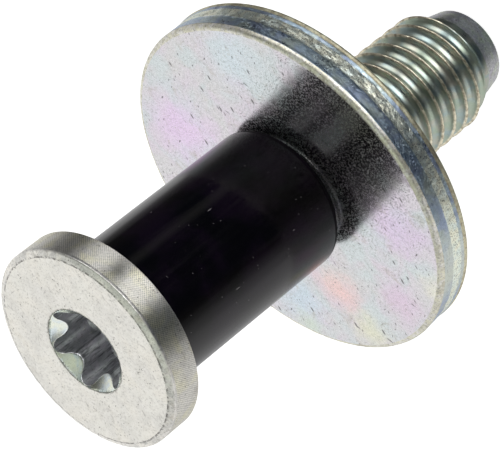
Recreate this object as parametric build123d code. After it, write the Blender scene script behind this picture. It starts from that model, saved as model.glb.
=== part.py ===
"""Striker bolt: a headed shoulder bolt with a turning sleeve and a loose captive washer.

Millimetres, +Z up. The bolt stands on the end of its stud, with the origin at the middle of that
end and the head uppermost. Three pieces: the bolt, the sleeve that turns on its shoulder, and the
thick washer that leans on its neck.
"""
import os
from math import cos, radians, sin, tan

from build123d import *

# Head
head_diameter = 21.5
head_rim_height = 3.34
head_bevel_width = 0.75
head_bevel_height = 0.24
head_back_bevel = 0.2
head_root_bevel = 0.3

# Six-lobe drive recess
lobe_count = 6
recess_across_lobes = 8.9
recess_across_waists = 6.4
lobe_tip_radius = 0.9
recess_depth = 4.7
recess_mouth_diameter = 9.0
recess_drill_cone_angle = 120.0
recess_turn = 3.3

# Shoulder that carries the sleeve
shoulder_diameter = 12.7
shoulder_length = 24.6
shoulder_end_bevel = 0.15

# Sleeve
sleeve_diameter = 15.28
sleeve_bore_clearance = 0.075
sleeve_head_gap = 0.25
sleeve_washer_gap = 0.25
sleeve_outer_bevel_width = 0.85
sleeve_outer_bevel_height = 0.9
sleeve_head_bevel = 0.3
sleeve_bore_bevel = 0.4

# Washer, leaning on the neck
washer_diameter = 38.1
washer_bore = 12.3
washer_thickness = 4.2
washer_front_round = 1.0
washer_back_bevel = 0.35
washer_bore_bevel = 0.3
washer_lean = 4.8
washer_lean_direction = 125.0
washer_shoulder_gap = 0.15
washer_thread_gap = 0.3

# Neck and half-inch stud
neck_diameter = 11.2
stud_diameter = 12.6
stud_thread_length = 19.85
stud_start_bevel = 0.65
stud_end_bevel_height = 0.9

# Smooth tapered pilot at the end of the stud
pilot_root_diameter = 10.1
pilot_end_diameter = 9.2
pilot_length = 2.9
pilot_edge_bevel = 0.4

# Radii, and how far the leaning washer reaches along the bolt at the shoulder, bore and stud
head_radius = head_diameter / 2
shoulder_radius = shoulder_diameter / 2
neck_radius = neck_diameter / 2
stud_radius = stud_diameter / 2
lean_slope = tan(radians(washer_lean))
washer_front_drop = washer_shoulder_gap + shoulder_radius * lean_slope
washer_axial_height = washer_thickness / cos(radians(washer_lean))
washer_back_reach = washer_bore / 2 * lean_slope
neck_length = washer_front_drop + washer_axial_height + washer_back_reach + washer_thread_gap

# Levels up the bolt, from the end of the pilot to the face of the head
z_pilot_top = pilot_length
z_stud_full = z_pilot_top + stud_end_bevel_height
z_stud_top = z_stud_full + stud_thread_length
z_shoulder_bottom = z_stud_top + neck_length
z_head_back = z_shoulder_bottom + shoulder_length
z_head_edge = z_head_back + head_rim_height
z_head_face = z_head_edge + head_bevel_height
z_sleeve_bottom = z_shoulder_bottom + sleeve_washer_gap
z_sleeve_top = z_head_back - sleeve_head_gap
z_washer_front = z_shoulder_bottom - washer_front_drop


def revolved(points):
    """Turn a closed outline of (radius, height) points about the bolt's axis."""
    with BuildPart() as turned:
        with BuildSketch(Plane.XZ):
            with BuildLine():
                Polyline(*points, close=True)
            make_face()
        revolve(axis=Axis.Z)
    return turned.part


def edges_at(part, radius, height):
    """The circular edges of a turned part with this radius at this height."""
    tolerance = 1e-4
    return [
        edge
        for edge in part.edges().filter_by(GeomType.CIRCLE)
        if abs(edge.radius - radius) < tolerance and abs(edge.arc_center.Z - height) < tolerance
    ]


def six_lobe_face():
    """The drive recess in plan: round lobes joined by tangent hollow waists."""
    tip_reach = recess_across_lobes / 2
    waist_reach = recess_across_waists / 2
    tip_centre = tip_reach - lobe_tip_radius
    half_step = 180 / lobe_count
    spread = cos(radians(half_step))
    waist_radius = (
        lobe_tip_radius**2 - tip_centre**2 - waist_reach**2 + 2 * tip_centre * waist_reach * spread
    ) / (2 * (waist_reach - tip_centre * spread - lobe_tip_radius))
    waist_centre = waist_reach + waist_radius
    along = lobe_tip_radius / (lobe_tip_radius + waist_radius)

    def polar(radius, angle):
        return Vector(radius * cos(radians(angle)), radius * sin(radians(angle)))

    def joint(lobe_angle, waist_angle):
        start = polar(tip_centre, lobe_angle)
        return start + (polar(waist_centre, waist_angle) - start) * along

    with BuildSketch() as lobes:
        with BuildLine():
            for index in range(lobe_count):
                angle = recess_turn + index * 2 * half_step
                before = joint(angle, angle - half_step)
                after = joint(angle, angle + half_step)
                following = joint(angle + 2 * half_step, angle + half_step)
                ThreePointArc(before, polar(tip_reach, angle), after)
                ThreePointArc(after, polar(waist_reach, angle + half_step), following)
        make_face()
    return lobes.sketch


def drive_recess():
    """The space that the driver fills: six lobes, a coned mouth and a shallow drilled bottom."""
    bottom = z_head_face - recess_depth
    waist_reach = recess_across_waists / 2
    mouth_radius = recess_mouth_diameter / 2
    cone_drop = mouth_radius - waist_reach
    drill_drop = waist_reach / tan(radians(recess_drill_cone_angle / 2))
    with BuildPart() as space:
        with BuildSketch(Plane.XY.offset(bottom)):
            add(six_lobe_face())
        extrude(amount=recess_depth)
    mouth = revolved(
        [
            (0, z_head_face),
            (mouth_radius, z_head_face),
            (waist_reach, z_head_face - cone_drop),
            (0, z_head_face - cone_drop),
        ]
    )
    point = revolved([(0, bottom), (waist_reach, bottom), (0, bottom - drill_drop)])
    return space.part + mouth + point


def make_bolt():
    """Head, shoulder, neck, stud and pilot as one turned solid, with the recess cut into the head."""
    outline = [
        (0, 0),
        (pilot_end_diameter / 2, 0),
        (pilot_root_diameter / 2, z_pilot_top),
        (stud_radius, z_stud_full),
        (stud_radius, z_stud_top - stud_start_bevel),
        (neck_radius, z_stud_top),
        (neck_radius, z_shoulder_bottom),
        (shoulder_radius, z_shoulder_bottom),
        (shoulder_radius, z_head_back - head_root_bevel),
        (shoulder_radius + head_root_bevel, z_head_back),
        (head_radius, z_head_back),
        (head_radius, z_head_edge),
        (head_radius - head_bevel_width, z_head_face),
        (0, z_head_face),
    ]
    body = revolved(outline)
    body = chamfer(edges_at(body, pilot_end_diameter / 2, 0), pilot_edge_bevel)
    body = chamfer(edges_at(body, shoulder_radius, z_shoulder_bottom), shoulder_end_bevel)
    body = chamfer(edges_at(body, head_radius, z_head_back), head_back_bevel)
    return body - drive_recess()


def make_sleeve():
    """The bushing: a plain tube, bevelled outside at the washer end and lightly broken elsewhere."""
    outer = sleeve_diameter / 2
    bore = shoulder_radius + sleeve_bore_clearance
    outline = [
        (bore + sleeve_bore_bevel, z_sleeve_top),
        (bore, z_sleeve_top - sleeve_bore_bevel),
        (bore, z_sleeve_bottom),
        (outer - sleeve_outer_bevel_width, z_sleeve_bottom),
        (outer, z_sleeve_bottom + sleeve_outer_bevel_height),
        (outer, z_sleeve_top - sleeve_head_bevel),
        (outer - sleeve_head_bevel, z_sleeve_top),
    ]
    return revolved(outline)


def make_washer():
    """The thick washer: punched, with a rolled front edge, tipped about the middle of its front face."""
    outer = washer_diameter / 2
    bore = washer_bore / 2
    ring = revolved([(bore, -washer_thickness), (outer, -washer_thickness), (outer, 0), (bore, 0)])
    ring = fillet(edges_at(ring, outer, 0), washer_front_round)
    ring = chamfer(edges_at(ring, outer, -washer_thickness), washer_back_bevel)
    ring = chamfer(edges_at(ring, bore, 0) + edges_at(ring, bore, -washer_thickness), washer_bore_bevel)
    turn_to_lean = Rotation(0, 0, washer_lean_direction)
    lean = Rotation(0, washer_lean, 0)
    turn_back = Rotation(0, 0, -washer_lean_direction)
    return Pos(0, 0, z_washer_front) * turn_to_lean * lean * turn_back * ring


pieces = {
    "bolt": make_bolt(),
    "sleeve": make_sleeve(),
    "washer": make_washer(),
}

os.makedirs("parts", exist_ok=True)
for name, piece in pieces.items():
    piece.label = name
    export_step(piece, f"parts/{name}.step")
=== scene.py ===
"""Striker bolt: a shoulder bolt with a six-lobe recess, a turning black sleeve and a captive washer."""
import math

import bpy
from mathutils import Matrix, Vector, noise


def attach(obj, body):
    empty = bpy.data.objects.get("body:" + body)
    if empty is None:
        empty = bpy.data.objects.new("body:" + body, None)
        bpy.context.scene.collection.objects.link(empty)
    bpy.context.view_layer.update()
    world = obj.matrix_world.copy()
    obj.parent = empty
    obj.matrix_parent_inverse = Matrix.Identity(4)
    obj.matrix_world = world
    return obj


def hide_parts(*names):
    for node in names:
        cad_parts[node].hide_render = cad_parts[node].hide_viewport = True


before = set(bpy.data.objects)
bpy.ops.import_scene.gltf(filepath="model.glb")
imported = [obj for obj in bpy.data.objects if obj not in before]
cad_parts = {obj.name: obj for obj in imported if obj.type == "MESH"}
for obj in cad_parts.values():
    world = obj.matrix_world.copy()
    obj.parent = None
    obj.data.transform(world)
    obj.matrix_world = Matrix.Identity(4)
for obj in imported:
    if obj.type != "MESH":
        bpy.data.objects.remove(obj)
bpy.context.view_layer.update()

# Sizes are in millimetres, as in the solids, and become metres when a mesh is made.
MM = 0.001
TURN = 2 * math.pi

head_radius = 10.75
head_face_z = 57.5444
head_edge_z = 57.3044
head_bevel_width = 0.75
head_back_z = 53.964
shoulder_radius = 6.35
shoulder_bottom_z = 29.364
recess_mouth_radius = 4.5
recess_floor_z = 52.844
recess_turn = math.radians(3.3)
hidden_dish_z = 50.2
sleeve_radius = 7.64
sleeve_bore = 6.425
sleeve_low_z = 29.614
sleeve_high_z = 53.714
washer_radius = 19.05
washer_bore = 6.15
washer_thickness = 4.2
washer_front_z = 28.6812
washer_lean = math.radians(4.8)
washer_lean_azimuth = math.radians(125)
neck_radius = 5.6
crest_radius = 6.3
thread_pitch = 1.954
thread_depth = 0.9
crest_land = 0.2
thread_top_z = 23.65
thread_end_z = 3.8
crest_z_at_x = 14.40
pilot_root_radius = 5.05
pilot_end_radius = 4.6
pilot_top_z = 2.9


def smoothstep(low, high, value):
    """0 below low, 1 above high, and a smooth step between."""
    t = min(max((value - low) / (high - low), 0), 1)
    return t * t * (3 - 2 * t)


def lerp(a, b, t):
    return a + (b - a) * t


def uneven(x, y, z, size):
    """Smooth noise from -1 to 1 at a place in millimetres, with features of the given size."""
    return noise.noise(Vector((x / size, y / size, z / size)))


def arc(cx, cz, radius, start, end, steps):
    """Points (r, z) on an arc round (cx, cz), with the angles in degrees from +r towards +z."""
    points = []
    for i in range(steps + 1):
        a = math.radians(lerp(start, end, i / steps))
        points.append((cx + radius * math.cos(a), cz + radius * math.sin(a)))
    return points


def along(start, end, steps):
    """Points (r, z) on a straight run, without its first point."""
    return [
        (lerp(start[0], end[0], i / steps), lerp(start[1], end[1], i / steps))
        for i in range(1, steps + 1)
    ]


def ring(radius, z, count, shift=None):
    """One loop of points round the axis. radius and z are numbers, or functions of the azimuth."""
    loop = []
    for i in range(count):
        a = TURN * i / count
        r = radius(a) if callable(radius) else radius
        h = z(a) if callable(z) else z
        if shift:
            r, h = shift(a, r, h)
        loop.append((r * math.cos(a), r * math.sin(a), h))
    return loop


class Outline:
    """Loops of points from one end of a turned piece to the other, each with the number of its material."""

    def __init__(self, count):
        self.count = count
        self.loops = []
        self.marks = []

    def add(self, radius, z, mark, shift=None):
        self.loops.append(ring(radius, z, self.count, shift))
        self.marks.append(mark)


def skin(name, outline, materials, closed=False, start=None, end=None):
    """A mesh through an outline's loops. start and end are points that close its ends, and closed
    joins the last loop to the first."""
    count = outline.count
    loops = outline.loops
    marks = outline.marks
    points = [p for loop in loops for p in loop]
    faces = []
    slots = []
    bands = len(loops) if closed else len(loops) - 1
    for k in range(bands):
        low = k * count
        high = ((k + 1) % len(loops)) * count
        for i in range(count):
            j = (i + 1) % count
            faces.append((low + i, low + j, high + j, high + i))
            slots.append(marks[k])
    for tip, base, mark in ((start, 0, marks[0]), (end, len(points) - count, marks[bands - 1])):
        if tip is None:
            continue
        points.append(tip)
        for i in range(count):
            j = (i + 1) % count
            corner = (base + j, base + i) if tip is start else (base + i, base + j)
            faces.append((*corner, len(points) - 1))
            slots.append(mark)
    mesh = bpy.data.meshes.new(name)
    mesh.from_pydata([(x * MM, y * MM, z * MM) for x, y, z in points], [], faces)
    for material in materials:
        mesh.materials.append(material)
    mesh.polygons.foreach_set("material_index", slots)
    mesh.polygons.foreach_set("use_smooth", [True] * len(faces))
    mesh.update()
    obj = bpy.data.objects.new(name, mesh)
    bpy.context.scene.collection.objects.link(obj)
    return obj


class Nodes:
    """Makes and links nodes in one tree."""

    def __init__(self, tree):
        self.tree = tree

    def link(self, source, socket):
        """Puts a socket or a plain value into a socket."""
        if isinstance(source, bpy.types.NodeSocket):
            self.tree.links.new(source, socket)
        elif socket.type == "RGBA" and len(source) == 3:
            socket.default_value = (*source, 1)
        else:
            socket.default_value = source

    def vector(self, operation, a, b=None, scale=None):
        node = self.tree.nodes.new("ShaderNodeVectorMath")
        node.operation = operation
        self.link(a, node.inputs[0])
        if b is not None:
            self.link(b, node.inputs[1])
        if scale is not None:
            self.link(scale, node.inputs["Scale"])
        return node.outputs["Value" if operation == "LENGTH" else "Vector"]

    def math(self, operation, a, b=0.0, clamp=False):
        node = self.tree.nodes.new("ShaderNodeMath")
        node.operation = operation
        node.use_clamp = clamp
        self.link(a, node.inputs[0])
        self.link(b, node.inputs[1])
        return node.outputs[0]

    def split(self, place):
        """The X, Y and Z of a place or a direction."""
        node = self.tree.nodes.new("ShaderNodeSeparateXYZ")
        self.link(place, node.inputs[0])
        return node.outputs["X"], node.outputs["Y"], node.outputs["Z"]

    def step(self, value, low, high, bottom=0.0, top=1.0):
        """Smooth step of a value between low and high."""
        node = self.tree.nodes.new("ShaderNodeMapRange")
        node.interpolation_type = "SMOOTHSTEP"
        for key, given in (("Value", value), ("From Min", low), ("From Max", high)):
            self.link(given, node.inputs[key])
        self.link(bottom, node.inputs["To Min"])
        self.link(top, node.inputs["To Max"])
        return node.outputs["Result"]

    def mix(self, amount, a, b):
        """Colour a where the amount is 0, and b where it is 1."""
        node = self.tree.nodes.new("ShaderNodeMix")
        node.data_type = "RGBA"
        self.link(amount, node.inputs[0])
        self.link(a, node.inputs[6])
        self.link(b, node.inputs[7])
        return node.outputs[2]


class Shader(Nodes):
    """The nodes of one material, with places in millimetres from the object's own coordinates."""

    def __init__(self, name):
        self.material = bpy.data.materials.new(name)
        self.material.use_nodes = True
        super().__init__(self.material.node_tree)
        self.surface = self.tree.nodes["Principled BSDF"]
        place = self.tree.nodes.new("ShaderNodeTexCoord").outputs["Object"]
        self.place = self.vector("SCALE", place, scale=1 / MM)

    def turned(self, stretch, turn):
        """Places turned in the object's frame, then drawn out by the stretch along their new axes."""
        mapping = self.tree.nodes.new("ShaderNodeMapping")
        mapping.vector_type = "TEXTURE"
        mapping.inputs["Rotation"].default_value = turn
        mapping.inputs["Scale"].default_value = stretch
        self.link(self.place, mapping.inputs["Vector"])
        return mapping.outputs["Vector"]

    def noise(self, size, detail=2.0, roughness=0.55, stretch=(1, 1, 1), turn=(0, 0, 0), warp=0.0):
        """Noise from 0 to 1 with features about size millimetres across."""
        node = self.tree.nodes.new("ShaderNodeTexNoise")
        node.inputs["Scale"].default_value = 1 / size
        node.inputs["Detail"].default_value = detail
        node.inputs["Roughness"].default_value = roughness
        node.inputs["Distortion"].default_value = warp
        self.link(self.turned(stretch, turn), node.inputs["Vector"])
        return node.outputs["Fac"]

    def cells(self, size, stretch=(1, 1, 1), turn=(0, 0, 0)):
        """Distance from the nearest of scattered points, in cell sizes."""
        node = self.tree.nodes.new("ShaderNodeTexVoronoi")
        node.inputs["Scale"].default_value = 1 / size
        self.link(self.turned(stretch, turn), node.inputs["Vector"])
        return node.outputs["Distance"]

    def from_axis(self):
        """Distance from the bolt's axis."""
        return self.vector("LENGTH", self.vector("MULTIPLY", self.place, (1, 1, 0)))

    def patch(self, centre, radius):
        """1 at a place in millimetres, fading to 0 at a ragged radius."""
        away = self.vector("LENGTH", self.vector("SUBTRACT", self.place, centre))
        ragged = self.math("MULTIPLY", self.noise(radius * 0.6, 3.0, 0.6), radius)
        return self.step(self.math("ADD", away, ragged), radius * 1.5, radius * 0.5)

    def bump(self, height, strength, depth, below=None):
        """Bump from a height of 0 to 1 that stands for depth millimetres."""
        node = self.tree.nodes.new("ShaderNodeBump")
        node.inputs["Strength"].default_value = strength
        node.inputs["Distance"].default_value = depth * MM
        self.link(height, node.inputs["Height"])
        if below is not None:
            self.link(below, node.inputs["Normal"])
        return node.outputs["Normal"]

    def specks(self, size, radius, level, stretch=(1, 1, 1), turn=(0, 0, 0)):
        """Small marks: 1 in scattered dots of about this radius, where a wide noise tops the level."""
        dots = self.step(self.cells(size, stretch, turn), radius / size, radius / size * 0.45)
        some = self.step(self.noise(size * 3.0, 1.0), level, level + 0.03)
        return self.math("MULTIPLY", dots, some)

    def strokes(self, size, width, length, azimuth, level):
        """Short straight marks along an azimuth in degrees, where a wide noise tops level."""
        return self.specks(size, width, level, (length, 1, length), (0, 0, math.radians(azimuth)))

    def shade(self, amount, share, colour, other):
        """A colour mixed towards another by a share of the amount."""
        return self.mix(self.math("MULTIPLY", amount, share), colour, other)

    def coat(self, colour, rough, normal):
        """Links what every coat has to the surface, and gives the finished material."""
        self.link(colour, self.surface.inputs["Base Color"])
        self.link(rough, self.surface.inputs["Roughness"])
        self.link(normal, self.surface.inputs["Normal"])
        return self.material


# Colours of dirt and wear on the plating, and of the painted shade along the head's edges.

dull_speckle = (0.30, 0.29, 0.28)
bright_speckle = (1.0, 1.0, 0.98)
stain_brown = (0.40, 0.36, 0.29)
pit_brown = (0.07, 0.058, 0.045)
scratch_dark = (0.06, 0.055, 0.06)
grain_dark = (0.10, 0.10, 0.09)
# Painted shade: the colour of the dark lines along the head's edges.
painted_edge_shade = (0.12, 0.11, 0.10)

# Kinds of short scratch: cell size, width, stretch, azimuth in degrees, and how rare it is.
scratch_kinds = (
    (0.80, 0.15, 3.0, 162, 0.52),
    (0.50, 0.09, 2.5, 148, 0.52),
    (0.80, 0.11, 5.0, 20, 0.58),
    (0.60, 0.10, 3.0, 100, 0.58),
)


def zinc(
    name,
    tints,
    tint_size,
    roughness,
    speckle=0.0,
    speckle_size=0.2,
    pits=0.0,
    scratched=0.0,
    stains=0.0,
    dapple=0.0,
    extra=None,
    grain=None,
    grain_shade=0.3,
    anisotropy=0.0,
):
    """Plated steel: tints that drift over the surface, with speckle, pits, scratches, stain and grain."""
    s = Shader(name)
    drift = s.noise(tint_size, 2.0, 0.5, warp=0.6)
    second = s.noise(tint_size * 0.8, 2.0, 0.5, turn=(0.7, 1.9, 0.4), warp=0.5)
    colour = s.mix(s.step(drift, 0.36, 0.66), tints[0], tints[1])
    colour = s.mix(s.step(second, 0.42, 0.68), colour, tints[2])
    if extra:
        colour = extra(s, colour)
    fine = s.noise(speckle_size, 2.0, 0.75)
    if speckle:
        dull = s.step(fine, 0.52, 0.70, 0.0, speckle)
        colour = s.mix(dull, colour, dull_speckle)
        light = s.step(fine, 0.46, 0.32, 0.0, speckle * 0.6)
        colour = s.mix(light, colour, bright_speckle)
    if stains:
        stain = s.step(s.noise(1.7, 4.0, 0.65, warp=0.8), 0.56, 0.72, 0.0, stains)
        colour = s.mix(stain, colour, stain_brown)
    marks = None
    if pits:
        ragged = s.step(s.noise(0.42, 3.0, 0.7, warp=1.5), 0.64, 0.72)
        tiny = s.specks(0.45, 0.08, 0.54)
        marks = s.math("MULTIPLY", s.math("MAXIMUM", ragged, tiny), pits)
        colour = s.mix(marks, colour, pit_brown)
    if scratched:
        lines = None
        for kind in scratch_kinds:
            more = s.strokes(*kind)
            lines = more if lines is None else s.math("MAXIMUM", lines, more)
        lines = s.math("MULTIPLY", lines, scratched)
        colour = s.mix(lines, colour, scratch_dark)
        marks = lines if marks is None else s.math("MAXIMUM", marks, lines)
    rough = s.step(s.noise(0.9, 4.0, 0.6), 0.3, 0.7, roughness * 0.88, roughness * 1.15)
    if dapple:
        dots = s.step(s.noise(0.17, 2.0, 0.7, turn=(1.1, 0.3, 0.8)), 0.50, 0.64, 0.0, dapple)
        rough = s.math("ADD", rough, dots, clamp=True)
    normal = s.bump(fine, 0.3, 0.010)
    if marks is not None:
        normal = s.bump(s.math("SUBTRACT", 1.0, marks), 0.15, 0.01, normal)
    if grain:
        lines = grain(s)
        colour = s.mix(s.step(lines, 0.1, -0.35, 0.0, grain_shade), colour, grain_dark)
        normal = s.bump(lines, 0.5, 0.006, normal)
    s.surface.inputs["Metallic"].default_value = 1.0
    if anisotropy:
        s.surface.inputs["Anisotropic"].default_value = anisotropy
        s.surface.inputs["Anisotropic Rotation"].default_value = 0.25
        tangent = s.tree.nodes.new("ShaderNodeTangent")
        tangent.direction_type = "RADIAL"
        tangent.axis = "Z"
        s.link(tangent.outputs["Tangent"], s.surface.inputs["Tangent"])
    return s.coat(colour, rough, normal)


knurl_spacing = 0.26
torn_size = 0.14


def cross_hatch(s):
    """Fine diamond grain that a knurled die leaves round the rim."""
    x, y, z = s.split(s.place)
    round_way = s.math("MULTIPLY", s.math("ARCTAN2", y, x), head_radius)
    rate = TURN / knurl_spacing
    waves = [
        s.math("SINE", s.math("MULTIPLY", s.math(operation, round_way, z), rate))
        for operation in ("ADD", "SUBTRACT")
    ]
    return s.math("MULTIPLY", s.math("ADD", *waves), 0.25)


def torn_grain(s):
    """Coarse grain of torn metal."""
    return s.math("MULTIPLY", s.math("SUBTRACT", s.noise(torn_size, 1.0, 0.6), 0.42), 7.0)


def heat_tints(s, colour):
    """Broad lilac, blue, cream and peach clouds of the washer's passivated face."""
    for centre, radius, tint in (
        ((11, 7, 28.7), 7.0, (0.78, 0.60, 0.83)),
        ((13, -8, 29.8), 6.0, (0.63, 0.71, 0.76)),
        ((-9, -11, 29.0), 5.5, (0.70, 0.57, 0.76)),
        ((-15, -3, 28.2), 4.5, (0.72, 0.56, 0.70)),
        ((-9.4, 11.4, 27.5), 5.0, (0.58, 0.70, 0.78)),
        ((-10.8, 4.6, 27.9), 4.2, (0.86, 0.60, 0.56)),
        ((-15.8, 4.9, 27.6), 3.5, (0.74, 0.74, 0.56)),
        ((-16.5, -9, 28.5), 3.0, (0.78, 0.76, 0.64)),
        ((-12, 13, 27.3), 3.0, (0.62, 0.70, 0.60)),
        ((1, -17, 29.9), 4.0, (0.70, 0.72, 0.62)),
    ):
        colour = s.shade(s.patch(centre, radius), 0.8, colour, tint)
    return colour


def dull_patch_and_shade(s, colour):
    """A darker place on the head's side: partly a duller, stained mark and partly painted shade between two
    highlights.
    """
    return s.shade(s.patch((3.7, -10.1, 55.6), 1.1), 0.6, colour, (0.20, 0.20, 0.19))


def broken_shade_line(s, colour, radius, reach, strength):
    """Broken dark line at a radius from the bolt's axis: painted shade along an edge."""
    near = s.step(s.math("ABSOLUTE", s.math("SUBTRACT", s.from_axis(), radius)), reach, reach * 0.3)
    broken = s.step(s.noise(0.5, 3.0, 0.7), 0.43, 0.54)
    return s.shade(s.math("MULTIPLY", near, broken), strength, colour, painted_edge_shade)


def bevel_edge_shade(s, colour):
    """Painted shade: a broken dark line where the head's bevel meets its face."""
    return broken_shade_line(s, colour, head_radius - head_bevel_width + 0.03, 0.20, 0.85)


def mouth_edge_shade(s, colour):
    """Painted shade: a broken dark line round the recess's mouth."""
    return broken_shade_line(s, colour, recess_mouth_radius + 0.06, 0.15, 0.5)


def broach_shade_and_glints(s, colour):
    """Dark streaks down the recess's walls, partly broaching marks and partly painted shade in its creases,
    and small bright specks that are painted glints on burrs.
    """
    lines = s.step(s.noise(0.3, 3.0, 0.7, stretch=(1, 1, 10)), 0.50, 0.64, 0.0, 0.7)
    colour = s.mix(lines, colour, (0.10, 0.10, 0.11))
    burr_glints = s.specks(0.5, 0.10, 0.55, (1, 1, 3))
    return s.shade(burr_glints, 0.9, colour, (1.0, 1.0, 0.95))


def pale_side_painted_light(s, colour):
    """Painted light: paler plating on one side of the rim, where its reflection is brightest."""
    return s.shade(s.patch((-15.6, -10.9, 27.5), 7.0), 0.8, colour, (0.72, 0.75, 0.66))


def crest_highlight_line(s, colour):
    """Painted highlight: a thin golden line along the thread's crests, broken with darker brown."""
    # Where the painted highlight lies: close to the crests.
    worn = s.step(s.from_axis(), crest_radius - 0.30, crest_radius - 0.14)
    broken = s.step(s.noise(0.5, 3.0, 0.7), 0.30, 0.62)
    brown = s.mix(broken, (0.40, 0.33, 0.22), (0.92, 0.84, 0.64))
    return s.shade(worn, 0.85, colour, brown)


# Materials: a name, three tints, the tints' size in millimetres, the roughness, and what wears them.

cream = (0.83, 0.81, 0.76)
grey = (0.77, 0.75, 0.71)
warm = (0.84, 0.81, 0.75)
straw = (0.86, 0.83, 0.66)

face_zinc = zinc(
    "zinc_face",
    (cream, grey, warm),
    4.0,
    0.42,
    speckle=0.40,
    speckle_size=0.22,
    pits=0.95,
    scratched=0.25,
    stains=0.12,
    extra=mouth_edge_shade,
)
bevel_zinc = zinc(
    "zinc_bevel",
    (grey, (0.62, 0.61, 0.58), warm),
    1.2,
    0.38,
    speckle=0.6,
    pits=0.9,
    stains=0.4,
    extra=bevel_edge_shade,
)
side_zinc = zinc(
    "zinc_side",
    (cream, grey, straw),
    3.0,
    0.46,
    speckle=0.5,
    speckle_size=0.16,
    pits=0.85,
    stains=0.3,
    extra=dull_patch_and_shade,
    grain=cross_hatch,
    grain_shade=0.5,
    anisotropy=0.95,
)
# Painted shade: the recess's walls are a darker, bluish copy of the head's plating.
recess_zinc_painted_shade = zinc(
    "zinc_recess_painted_shade",
    ((0.72, 0.72, 0.76), (0.60, 0.62, 0.63), (0.76, 0.74, 0.78)),
    1.6,
    0.33,
    speckle=0.35,
    pits=0.4,
    extra=broach_shade_and_glints,
)
# Painted light: the coned ledges are a paler, greenish copy of the head's plating.
ledge_zinc_painted_light = zinc(
    "zinc_ledge_painted_light",
    ((0.86, 0.90, 0.82), (0.90, 0.92, 0.78), (0.78, 0.86, 0.88)),
    1.2,
    0.24,
    speckle=0.15,
    pits=0.3,
)
# Painted shade: the small ring at the recess's mouth is coloured near black for the dark line at that edge.
lip_zinc_painted_shade = zinc(
    "zinc_lip_painted_shade",
    ((0.16, 0.17, 0.13), (0.30, 0.30, 0.26), (0.10, 0.11, 0.09)),
    0.8,
    0.4,
    speckle=0.5,
)
# Painted shade and painted reflection: the thread is a dark olive-green copy of the head's plating, for the
# shade under the washer and the green it mirrors.
thread_zinc_painted_shade = zinc(
    "zinc_thread_painted_shade",
    ((0.38, 0.45, 0.36), (0.47, 0.47, 0.40), (0.36, 0.45, 0.44)),
    2.0,
    0.31,
    speckle=0.12,
    pits=0.12,
    extra=crest_highlight_line,
)
pilot_zinc = zinc(
    "zinc_pilot",
    ((0.56, 0.56, 0.58), (0.50, 0.48, 0.56), (0.56, 0.60, 0.52)),
    1.5,
    0.34,
    speckle=0.6,
    pits=0.8,
    stains=0.4,
    dapple=0.25,
)
# Painted shade: the shoulder and neck are coloured dark, for the shade in the gap between the sleeve's end
# and the washer.
plain_zinc_painted_shade = zinc(
    "zinc_plain_painted_shade",
    ((0.22, 0.23, 0.21), (0.26, 0.26, 0.25), (0.20, 0.20, 0.23)),
    2.0,
    0.42,
    speckle=0.25,
    pits=0.3,
)
washer_face_zinc = zinc(
    "washer_face",
    ((0.66, 0.65, 0.66), (0.68, 0.62, 0.69), (0.62, 0.67, 0.68)),
    5.0,
    0.17,
    speckle=0.38,
    speckle_size=0.15,
    pits=0.6,
    scratched=0.8,
    stains=0.35,
    dapple=0.33,
    extra=heat_tints,
)
washer_edge_zinc = zinc(
    "washer_edge",
    ((0.72, 0.70, 0.56), (0.60, 0.58, 0.48), grey),
    0.9,
    0.42,
    speckle=0.8,
    pits=1.0,
    stains=0.7,
)
worn_edge_zinc = zinc(
    "washer_worn_edge",
    ((0.66, 0.61, 0.42), (0.78, 0.75, 0.54), (0.46, 0.41, 0.28)),
    0.9,
    0.45,
    speckle=0.5,
    pits=0.8,
)
# Painted reflection: the rim's burnished band is a real feature, but its dark navy tint stands for the dark
# blue room it mirrors.
burnished_zinc_painted_reflection = zinc(
    "washer_burnished_painted_reflection",
    ((0.38, 0.46, 0.62), (0.42, 0.54, 0.64), (0.48, 0.56, 0.54)),
    2.5,
    0.3,
    speckle=0.4,
    pits=0.4,
    dapple=0.35,
    extra=pale_side_painted_light,
)
# Painted highlight: the rim's broken band is a real feature, but its near-white, greenish-cream colour
# stands for the bright streak the rim's curve catches.
fracture_zinc_painted_highlight = zinc(
    "washer_fracture_painted_highlight",
    ((0.95, 1.0, 0.86), (0.86, 0.95, 0.88), (1.0, 1.0, 0.82)),
    1.4,
    0.35,
    speckle=0.2,
    pits=0.3,
    grain=torn_grain,
    grain_shade=0.65,
)


def blackened(name, smoothest, dullest, gloss):
    """Glossy black coat with a purple cast, fine lengthways streaks, specks and a few bright scratches."""
    s = Shader(name)
    streak = s.noise(0.35, 3.0, 0.6, stretch=(1, 1, 20))
    cloud = s.noise(4.0, 3.0, 0.55)
    colour = s.mix(s.step(cloud, 0.4, 0.65), (0.0008, 0.0006, 0.0009), (0.003, 0.0012, 0.004))
    flecks = s.specks(0.6, 0.05, 0.55)
    hairs = s.specks(0.55, 0.04, 0.56, (1, 1, 9))
    marks = s.math("MULTIPLY", s.math("MAXIMUM", flecks, hairs), 0.6)
    colour = s.mix(marks, colour, (0.30, 0.28, 0.29))
    rough = s.step(streak, 0.3, 0.75, smoothest, dullest)
    normal = s.bump(streak, 0.2, 0.012)
    normal = s.bump(marks, 0.3, 0.01, normal)
    s.surface.inputs["Specular IOR Level"].default_value = gloss
    return s.coat(colour, rough, normal)


sleeve_black = blackened("sleeve_black_coat", 0.09, 0.24, 0.36)
sleeve_end_black = blackened("sleeve_end_coat", 0.5, 0.65, 0.06)


# The bolt's head, with its six-lobe recess.

tip_circle = 0.9
tip_centre = 3.55
waist_circle = 1.521
waist_centre = 4.721
joint_angle = math.radians(13.17)
sixth = TURN / 6


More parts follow.
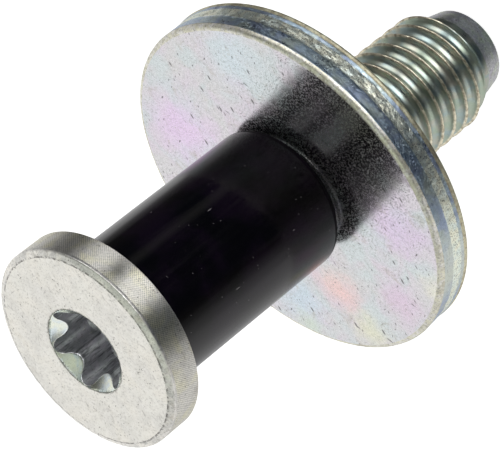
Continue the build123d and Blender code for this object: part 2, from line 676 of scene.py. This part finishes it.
def lobe(a):
    """Radius of the six-lobe wall at an azimuth."""
    from_tip = abs((a - recess_turn + sixth / 2) % sixth - sixth / 2)
    if from_tip <= joint_angle:
        across = tip_centre * math.sin(from_tip)
        return tip_centre * math.cos(from_tip) + math.sqrt(tip_circle**2 - across**2)
    from_waist = sixth / 2 - from_tip
    across = waist_centre * math.sin(from_waist)
    return waist_centre * math.cos(from_waist) - math.sqrt(waist_circle**2 - across**2)


def crease_depth(a):
    """How far below the face the coned mouth meets the six-lobe wall."""
    return recess_mouth_radius - lobe(a)


def pressed(a, r, z):
    """The head's face is a little uneven, more so near its edge."""
    near_edge = smoothstep(8.5, 10.2, r)
    return r, z - 0.012 * abs(uneven(r * math.cos(a), r * math.sin(a), 3, 1.6)) * near_edge


def chipped(a, r, z):
    """Small dents along the two edges of the head's bevel."""
    dent = max(0, uneven(r * math.cos(a), r * math.sin(a), 9, 0.5) - 0.15) * 0.07
    return r - dent * 0.6, z - dent


def wavy(a, r, z):
    """The head's side is faintly wavy."""
    return r - 0.012 * abs(uneven(r * math.cos(a), r * math.sin(a), z, 1.3)), z


def add_recess(add, hole, ledge, lip, drill_drop):
    """The six-lobe hole from its drilled bottom up to the ledges under its coned mouth."""
    drill_radius = 3.05
    drill_steps = 5
    wall_foot = 0.12
    wall_steps = 6
    ledge_gap = 0.04
    ledge_start = 0.03
    ledge_end = 0.985
    ledge_steps = 7
    lip_drop = 0.03
    for k in range(1, drill_steps + 1):
        share = k / drill_steps
        add(drill_radius * share, recess_floor_z - drill_drop * (1 - share), hole)
    add(lambda a: lobe(a) - wall_foot, recess_floor_z, hole)
    add(lambda a: lobe(a) - wall_foot * 0.3, recess_floor_z + wall_foot * 0.3, hole)
    wall_low = recess_floor_z + wall_foot
    add(lobe, wall_low, hole)
    for k in range(1, wall_steps + 1):
        t = k / wall_steps
        add(lobe, lambda a, t=t: lerp(wall_low, head_face_z - crease_depth(a) - ledge_gap, t), hole)
    for k in range(ledge_steps + 1):
        t = lerp(ledge_start, ledge_end, k / ledge_steps)
        add(
            lambda a, t=t: lerp(lobe(a), recess_mouth_radius, t),
            lambda a, t=t: head_face_z - crease_depth(a) * (1 - t),
            ledge,
        )
    add(recess_mouth_radius - lip_drop, head_face_z - lip_drop, lip)


def make_head():
    outline = Outline(384)
    add = outline.add
    face, bevel, side, hole, ledge, lip = range(6)
    drill_drop = 1.85
    add_recess(add, hole, ledge, lip, drill_drop)

    add(recess_mouth_radius + 0.05, head_face_z, face)
    bevel_start = head_radius - head_bevel_width
    face_start = recess_mouth_radius + 0.06
    face_steps = 22
    for k in range(1, face_steps + 1):
        add(lerp(face_start, bevel_start - 0.06, k / face_steps), head_face_z, face, pressed)

    bevel_steps = 8
    bevel_curve = 1.15
    bevel_sink = 0.004
    nose_radius = 0.1
    nose_drop = 0.12
    for k in range(bevel_steps + 1):
        t = k / bevel_steps
        drop = (head_face_z - head_edge_z) * t**bevel_curve
        add(lerp(bevel_start, head_radius - 0.08, t), head_face_z - bevel_sink - drop, bevel, chipped)
    for r, z in arc(head_radius - nose_radius, head_edge_z - nose_drop, nose_radius, 55, 0, 4):
        add(r, z, bevel, chipped)

    side_top = head_edge_z - 0.16
    side_foot = head_back_z + 0.28
    side_steps = 16
    back_round = 0.2
    back_steps = 6
    for k in range(1, side_steps + 1):
        add(head_radius, lerp(side_top, side_foot, k / side_steps), side, wavy)
    for r, z in arc(head_radius - back_round, head_back_z + back_round, back_round, 0, -90, 5):
        add(r, z, side)
    for k in range(1, back_steps + 1):
        add(lerp(head_radius - 0.25, shoulder_radius + 0.3, k / back_steps), head_back_z, side)

    hidden_foot_z = head_back_z - 0.6
    add(shoulder_radius + 0.05, head_back_z - 0.12, side)
    add(shoulder_radius - 0.06, head_back_z - 0.3, side)
    add(shoulder_radius - 0.08, hidden_foot_z, side)
    return skin(
        "bolt_head",
        outline,
        [face_zinc, bevel_zinc, side_zinc, recess_zinc_painted_shade, ledge_zinc_painted_light, lip_zinc_painted_shade],
        start=(0, 0, recess_floor_z - drill_drop - 0.05),
        end=(0, 0, hidden_foot_z - 3.0),
    )


# The bolt's shank, with its rolled thread.


def thread_cut(a, z):
    """How deep the rolled hollow is at an azimuth and a height: 0 on a crest and 1 at a root."""
    from_crest = (z - crest_z_at_x) / thread_pitch - a / TURN
    across = abs((from_crest + 0.5) % 1.0 - 0.5)
    from_root = max(0.5 - across, 0) * thread_pitch
    half_hollow = thread_pitch / 2 - crest_land / 2
    hollow_radius = (half_hollow**2 + thread_depth**2) / (2 * thread_depth)
    if from_root >= half_hollow:
        return 0.0
    rise = hollow_radius - math.sqrt(hollow_radius**2 - from_root**2)
    return 1 - rise / thread_depth


def thread_radius(a, z):
    """Radius of the threaded stud, which runs in from the neck and out to the pilot."""
    full = crest_radius - thread_depth * thread_cut(a, z)
    out_top = smoothstep(thread_top_z - 0.9, thread_top_z + 0.6, z)
    full = lerp(full, min(full, neck_radius), out_top)
    below = smoothstep(thread_end_z + 0.9, thread_end_z - 0.5, z)
    start_limit = lerp(crest_radius, pilot_root_radius, below)
    return max(min(full, start_limit), pilot_root_radius - 0.02)


def make_shank():
    outline = Outline(240)
    add = outline.add
    plain, thread, pilot = range(3)
    top = head_back_z - 0.1
    shoulder_start = top - 0.4
    shoulder_steps = 12
    neck_round = 0.15
    neck_foot = thread_top_z + 0.9
    neck_steps = 7
    for z in (top, shoulder_start):
        add(shoulder_radius, z, plain)
    for k in range(1, shoulder_steps + 1):
        z = lerp(shoulder_start, shoulder_bottom_z + 0.2, k / shoulder_steps)
        add(shoulder_radius, z, plain)
    add(shoulder_radius - 0.04, shoulder_bottom_z + 0.05, plain)
    add(shoulder_radius - neck_round, shoulder_bottom_z, plain)
    add(neck_radius + neck_round, shoulder_bottom_z, plain)
    add(neck_radius, shoulder_bottom_z - neck_round, plain)
    for k in range(1, neck_steps + 1):
        add(neck_radius, lerp(shoulder_bottom_z - neck_round, neck_foot, k / neck_steps), plain)

    loops_per_turn = 28
    steps = math.ceil((neck_foot - pilot_top_z) / thread_pitch * loops_per_turn)
    for k in range(1, steps + 1):
        z = lerp(neck_foot, pilot_top_z, k / steps)
        add(lambda a, z=z: thread_radius(a, z), z, thread)

    pilot_steps = 8
    pilot_curve = 1.3
    pilot_round = 0.4
    for k in range(1, pilot_steps + 1):
        t = k / pilot_steps
        radius = lerp(pilot_root_radius, pilot_end_radius, t**pilot_curve)
        add(radius, lerp(pilot_top_z, pilot_round + 0.02, t), pilot)
    for r, z in arc(pilot_end_radius - pilot_round, pilot_round, pilot_round, -10, -90, 6):
        add(r, z, pilot)
    for r in (3.2, 2.0, 1.0):
        add(r, 0, pilot)
    return skin(
        "bolt_shank",
        outline,
        [plain_zinc_painted_shade, thread_zinc_painted_shade, pilot_zinc],
        start=(0, 0, hidden_dish_z),
        end=(0, 0, 0),
    )


# The sleeve.


def make_sleeve():
    outline = Outline(256)
    washer_end_round = 0.85
    head_end_round = 0.3
    bore_round = 0.4
    straight_top = sleeve_high_z - head_end_round
    round_centre = sleeve_radius - washer_end_round, sleeve_low_z + washer_end_round
    profile = [
        (sleeve_bore, sleeve_low_z + bore_round),
        (sleeve_bore + 0.12, sleeve_low_z + 0.12),
        (sleeve_bore + bore_round, sleeve_low_z),
        (sleeve_radius - washer_end_round, sleeve_low_z),
    ]
    profile += arc(*round_centre, washer_end_round, -70, 0, 8)
    profile += along((sleeve_radius, sleeve_low_z + washer_end_round), (sleeve_radius, straight_top), 40)
    profile += arc(sleeve_radius - head_end_round, straight_top, head_end_round, 15, 90, 5)
    bore_top = (sleeve_bore, sleeve_high_z - bore_round)
    profile += [(sleeve_bore + bore_round, sleeve_high_z), bore_top]
    profile += along(bore_top, (sleeve_bore, sleeve_low_z + 1.0), 12)
    smooth, dull = range(2)
    for r, z in profile:
        outline.add(r, z, dull if z < sleeve_low_z + washer_end_round * 0.9 else smooth)
    return skin("sleeve_tube", outline, [sleeve_black, sleeve_end_black], closed=True)


# The washer, made flat and then leant.


def dished(a, r, z):
    """The washer's face is slightly wavy."""
    x = r * math.cos(a)
    y = r * math.sin(a)
    return r, z + 0.02 * uneven(x, y, 0, 6.0) - 0.02 + 0.004 * uneven(x, y, 5, 0.8)


def rolled(a, r, z):
    """The rolled edge is worn and slightly lumpy."""
    return r - 0.03, z - 0.02 + 0.03 * uneven(r * math.cos(a), r * math.sin(a), z, 0.6)


def sheared(a, r, z):
    """The punched rim: a burnished band, then a broken one with small facets."""
    x = r * math.cos(a)
    y = r * math.sin(a)
    broken = smoothstep(-1.6, -2.1, z) * smoothstep(-3.6, -3.1, z)
    rough = 0.012 * uneven(x, y, z, 0.5) + 0.03 * uneven(x, y, z * 0.6, 1.6)
    rough += broken * (0.03 * uneven(x, y, z, 0.3) + 0.03 * uneven(x, y, z, 0.9))
    return r - 0.07 - 0.05 * broken + rough, z


def make_washer():
    outline = Outline(720)
    add = outline.add
    face, edge, burnished, fracture, worn = range(5)
    front_round = 0.62
    bore_round = 0.3
    back_z = -washer_thickness
    torn_top = -1.8
    torn_bottom = -3.1
    worn_top = -3.45

    for r, z in arc(washer_bore + bore_round, -bore_round, bore_round, 180, 90, 4):
        add(r, z, face)
    face_end = washer_radius - front_round - 0.1
    face_steps = 33
    for k in range(1, face_steps + 1):
        add(lerp(washer_bore + 0.35, face_end, k / face_steps), 0, face, dished)

    for r, z in arc(washer_radius - front_round, -front_round, front_round, 86, 4, 12):
        add(r, z, edge if z > -front_round * 0.75 else burnished, rolled)
    rim_steps = 30
    for k in range(1, rim_steps + 1):
        z = lerp(-front_round - 0.05, back_z + 0.45, k / rim_steps)
        mark = worn if z < worn_top else fracture if torn_bottom < z < torn_top else burnished
        add(washer_radius, z, mark, sheared)
    for r, z in arc(washer_radius - 0.35, back_z + 0.35, 0.33, -10, -90, 5):
        add(r, z, worn)

    back_steps = 19
    bore_steps = 9
    for k in range(1, back_steps + 1):
        add(lerp(washer_radius - 0.4, washer_bore + bore_round, k / back_steps), back_z, face)
    for r, z in arc(washer_bore + bore_round, back_z + bore_round, bore_round, -90, -180, 4):
        add(r, z, face)
    for k in range(1, bore_steps + 1):
        add(washer_bore, lerp(back_z + 0.4, -0.4, k / bore_steps), face)

    coats = [washer_face_zinc, washer_edge_zinc, burnished_zinc_painted_reflection, fracture_zinc_painted_highlight, worn_edge_zinc]
    obj = skin("washer_ring", outline, coats, closed=True)
    lean = (
        Matrix.Translation((0, 0, washer_front_z * MM))
        @ Matrix.Rotation(washer_lean_azimuth, 4, "Z")
        @ Matrix.Rotation(washer_lean, 4, "Y")
        @ Matrix.Rotation(-washer_lean_azimuth, 4, "Z")
    )
    obj.data.transform(lean)
    return obj


for make, body, node, slot in (
    (make_head, "bolt", "bolt", "bolt_zinc"),
    (make_shank, "bolt", "bolt", "bolt_zinc"),
    (make_sleeve, "sleeve", "sleeve", "sleeve_black"),
    (make_washer, "washer", "washer", "washer_zinc"),
):
    piece = make()
    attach(piece, body)
    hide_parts(node)


# Pale floor, which the gloss of the part doesn't mirror.

floor_half = 3.0
floor_mesh = bpy.data.meshes.new("floor")
corners = ((-1, -1), (1, -1), (1, 1), (-1, 1))
floor_mesh.from_pydata([(x * floor_half, y * floor_half, 0) for x, y in corners], [], [(0, 1, 2, 3)])
floor = bpy.data.objects.new("floor", floor_mesh)
bpy.context.scene.collection.objects.link(floor)
floor_material = bpy.data.materials.new("floor_white")
floor_material.use_nodes = True
floor_surface = floor_material.node_tree.nodes["Principled BSDF"]
floor_surface.inputs["Base Color"].default_value = (0.8, 0.8, 0.8, 1)
floor_surface.inputs["Roughness"].default_value = 0.9
floor_surface.inputs["Emission Color"].default_value = (1, 1, 1, 1)
floor_surface.inputs["Emission Strength"].default_value = 0.75
floor_mesh.materials.append(floor_material)
floor.visible_glossy = False


# Soft studio light: pale panels round the part, told by direction.

world = bpy.data.worlds.new("studio")
bpy.context.scene.world = world
world.use_nodes = True
sky = Nodes(world.node_tree)


def panels(azimuth, levels):
    """Light round the compass, from pairs of azimuth in degrees and a level or a colour."""
    made = sky.tree.nodes.new("ShaderNodeValToRGB")
    ramp = made.color_ramp
    ramp.interpolation = "EASE"
    stops = [((degrees + 180) / 360, level) for degrees, level in levels]
    ramp.elements[0].position, ramp.elements[1].position = stops[0][0], stops[-1][0]
    for position, _ in stops[1:-1]:
        ramp.elements.new(position)
    for element, (_, level) in zip(ramp.elements, stops):
        element.color = (*level, 1) if isinstance(level, tuple) else (level, level, level, 1)
    sky.link(azimuth, made.inputs[0])
    return made.outputs["Color"]


east, north, up = sky.split(sky.tree.nodes.new("ShaderNodeTexCoord").outputs["Generated"])
compass = sky.math("ARCTAN2", north, east)
azimuth = sky.math("ADD", sky.math("DIVIDE", compass, TURN), 0.5)
elevation = sky.math("DEGREES", sky.math("ARCSINE", up))

dark_blue = (0.022, 0.030, 0.048)
low_panels = panels(
    azimuth,
    [
        (-180, 0.85),
        (-165, 0.60),
        (-150, 0.25),
        (-140, 0.06),
        (-125, dark_blue),
        (-48, dark_blue),
        (-42, dark_blue),
        (-31, 0.24),
        (-20, dark_blue),
        (20, 0.04),
        (34, 0.22),
        (48, 0.8),
        (110, 0.62),
        (150, 0.8),
        (180, 0.85),
    ],
)
horizon_panels = panels(
    azimuth,
    [
        (-180, 1.0),
        (-160, 1.1),
        (-146, 0.9),
        (-128, 0.05),
        (-98, 0.06),
        (-86, 3.6),
        (-64, 3.6),
        (-54, 0.4),
        (-46, 0.4),
        (-38, 3.0),
        (-22, 2.2),
        (-4, 0.12),
        (14, 0.2),
        (40, 0.8),
        (60, 1.05),
        (112, 1.05),
        (135, 0.9),
        (180, 1.0),
    ],
)
high_panels = panels(
    azimuth,
    [
        (-180, 0.25),
        (-140, 0.10),
        (-110, 0.02),
        (-75, 0.02),
        (-60, 0.12),
        (-45, 0.14),
        (-30, 0.12),
        (0, 0.06),
        (25, 0.10),
        (45, 0.6),
        (60, 1.05),
        (98, 1.05),
        (116, 0.5),
        (150, 0.9),
        (165, 0.9),
        (180, 0.25),
    ],
)
overhead = (0.60, 0.65, 0.58)
nadir = (0.30, 0.34, 0.33)
light = low_panels
for start, full, beyond in (
    (-22.0, -10.0, horizon_panels),
    (24.0, 36.0, high_panels),
    (48.0, 60.0, overhead),
    (-52.0, -66.0, nadir),
):
    light = sky.mix(sky.step(elevation, start, full), light, beyond)
seen = sky.tree.nodes.new("ShaderNodeLightPath").outputs["Is Camera Ray"]
light = sky.mix(seen, light, (1.0, 1.0, 1.0))
background = sky.tree.nodes["Background"]
sky.link(light, background.inputs["Color"])
background.inputs["Strength"].default_value = 1.0


# Camera, at the photograph's viewing angle.

camera_place = Vector((0.0, -0.245065, 0.204193))
camera_look = Vector((-0.00131, 0.82198, -0.56952)).normalized()
camera_up = Vector((0.78231, -0.3539, -0.51259)).normalized()
camera_right = camera_look.cross(camera_up).normalized()
camera_up = camera_right.cross(camera_look).normalized()
camera_data = bpy.data.cameras.new("camera")
camera_data.sensor_fit = "HORIZONTAL"
camera_data.sensor_width = 36.0
camera_data.lens = 224.4
camera_data.clip_start = 0.01
camera = bpy.data.objects.new("camera", camera_data)
camera.matrix_world = Matrix(
    (
        (camera_right.x, camera_up.x, -camera_look.x, camera_place.x),
        (camera_right.y, camera_up.y, -camera_look.y, camera_place.y),
        (camera_right.z, camera_up.z, -camera_look.z, camera_place.z),
        (0, 0, 0, 1),
    )
)
bpy.context.scene.collection.objects.link(camera)
bpy.context.scene.camera = camera

bpy.context.scene.view_settings.view_transform = "Standard"
bpy.context.scene.view_settings.look = "None"
